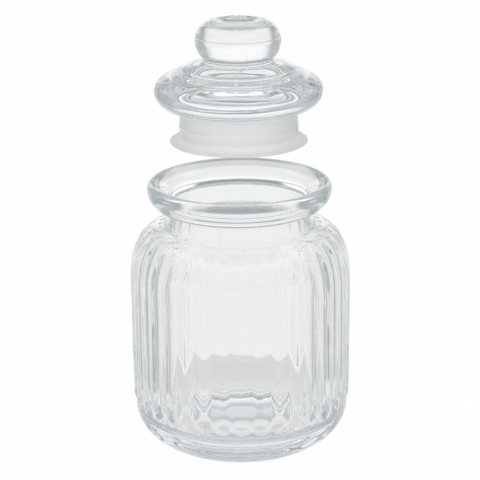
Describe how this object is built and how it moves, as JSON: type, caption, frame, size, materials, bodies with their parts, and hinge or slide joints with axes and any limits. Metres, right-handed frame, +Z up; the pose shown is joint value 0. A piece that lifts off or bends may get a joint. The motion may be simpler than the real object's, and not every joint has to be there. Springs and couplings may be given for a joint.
{
  "type": "apothecary jar",
  "caption": "Ribbed clear glass storage jar with a flared lip and a lift-off glass stopper lid, whose plug carries a soft translucent seal.",
  "frame": {"origin": "centre of the foot, on the surface the jar stands on", "axes": "+Z up the jar's axis, towards the lid; the jar is round, so +X and +Y are any two directions across it"},
  "size_m": [0.11, 0.11, 0.2136],
  "materials": {
    "jar_glass": "clear pressed soda-lime glass with a faint green tint, smooth and glossy",
    "lid_glass": "clear pressed soda-lime glass with a faint green tint, smooth and glossy, with mould lines",
    "seal_plastic": "soft translucent white polythene, satin"
  },
  "bodies": {
    "jar": {"jar_body": "jar_glass"},
    "lid": {"lid_glass": "lid_glass", "seal_ring": "seal_plastic"}
  },
  "joints": [
    {"name": "lid_lift", "type": "slide", "parent": "jar", "child": "lid", "axis": [0, 0, 1], "range_m": [-0.0414, 0]}
  ]
}
